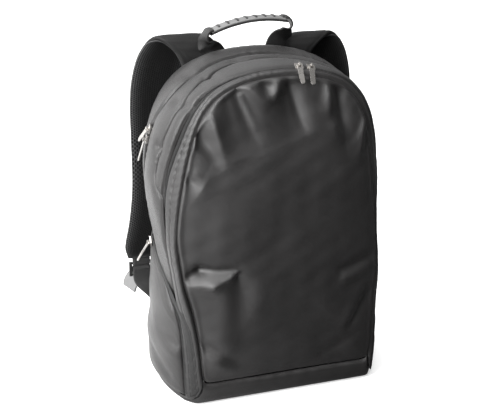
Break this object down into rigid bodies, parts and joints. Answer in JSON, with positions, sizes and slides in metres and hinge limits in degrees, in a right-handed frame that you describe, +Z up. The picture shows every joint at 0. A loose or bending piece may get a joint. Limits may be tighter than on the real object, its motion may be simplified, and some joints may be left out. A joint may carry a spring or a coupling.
{
  "type": "laptop backpack",
  "caption": "Soft laptop backpack that stands on its base, with zipped compartments, side pockets, a ribbed carrying handle and padded shoulder straps.",
  "frame": {"origin": "middle of the underside of the base, on the surface that the bag stands on", "axes": "+X to the right seen from the front, +Y towards the wearer's back, +Z up; the front faces -Y"},
  "size_m": [0.3412, 0.2182, 0.493],
  "materials": {
    "cloth": "fine satin coated cloth",
    "webbing": "dull woven webbing and binding",
    "air_mesh": "open knitted air mesh",
    "zip_coil": "nylon coil on woven tape",
    "grip_rubber": "light grey moulded rubber",
    "plastic": "moulded, slightly glossy",
    "hardware": "satin nickel plate"
  },
  "bodies": {
    "bag": {"rear_gusset": "cloth", "main_gusset": "cloth", "pocket_gusset": "cloth", "front_band": "cloth", "main_zip": "zip_coil", "front_zip": "zip_coil", "base_panel": "cloth", "front_panel": "cloth", "back_panel": "air_mesh", "side_pocket_right": "cloth", "pocket_zip_right": "zip_coil", "pocket_band_right": "webbing", "side_pocket_left": "cloth", "pocket_zip_left": "zip_coil", "pocket_band_left": "webbing", "strap_right": "cloth", "strap_mesh_right": "air_mesh", "strap_left": "cloth", "strap_mesh_left": "air_mesh", "ladder_lock_right": "plastic", "strap_tab_right": "webbing", "webbing_right": "webbing", "tail_face_right": "grip_rubber", "ladder_lock_left": "plastic", "strap_tab_left": "webbing", "webbing_left": "webbing", "tail_face_left": "grip_rubber", "handle_grip": "grip_rubber", "handle_webbing": "webbing", "handle_rib_1": "webbing", "handle_rib_2": "webbing", "handle_rib_3": "webbing", "handle_rib_4": "webbing", "handle_rib_5": "webbing", "handle_rib_6": "webbing", "handle_rib_7": "webbing", "handle_rib_8": "webbing", "handle_rib_9": "webbing", "handle_tab_right": "webbing", "handle_tab_left": "webbing", "slider_front_1": "hardware", "slider_front_2": "hardware", "slider_main_1": "hardware", "slider_main_2": "hardware", "slider_pocket_left": "hardware", "slider_pocket_right": "hardware"},
    "pull_front_1": {"pull_front_1": "hardware"},
    "pull_front_2": {"pull_front_2": "hardware"},
    "pull_main_1": {"pull_main_1": "hardware"},
    "pull_main_2": {"pull_main_2": "hardware"},
    "pull_pocket_left": {"pull_pocket_left": "hardware"},
    "pull_pocket_right": {"pull_pocket_right": "hardware"}
  },
  "joints": [
    {"name": "pull_front_1_swing", "type": "hinge", "parent": "bag", "child": "pull_front_1", "pos_m": [0.0244, -0.0492, 0.4554], "axis": [-0.9849, 0.087, 0.15], "range_deg": [0, 140]},
    {"name": "pull_front_2_swing", "type": "hinge", "parent": "bag", "child": "pull_front_2", "pos_m": [0.0407, -0.0494, 0.4531], "axis": [-0.9628, 0.114, 0.245], "range_deg": [0, 140]},
    {"name": "pull_main_1_swing", "type": "hinge", "parent": "bag", "child": "pull_main_1", "pos_m": [-0.1514, 0.0313, 0.3633], "axis": [0.249, 0.7449, 0.6189], "range_deg": [0, 140]},
    {"name": "pull_main_2_swing", "type": "hinge", "parent": "bag", "child": "pull_main_2", "pos_m": [-0.1548, 0.0333, 0.3489], "axis": [0.1141, 0.9935, 0], "range_deg": [0, 95]},
    {"name": "pull_pocket_left_swing", "type": "hinge", "parent": "bag", "child": "pull_pocket_left", "pos_m": [-0.1514, 0.0357, 0.2018], "axis": [0.165, 0.9863, 0], "range_deg": [0, 100]},
    {"name": "pull_pocket_right_swing", "type": "hinge", "parent": "bag", "child": "pull_pocket_right", "pos_m": [0.1501, 0.0354, 0.2024], "axis": [0.1301, -0.9915, 0], "range_deg": [0, 120]}
  ]
}
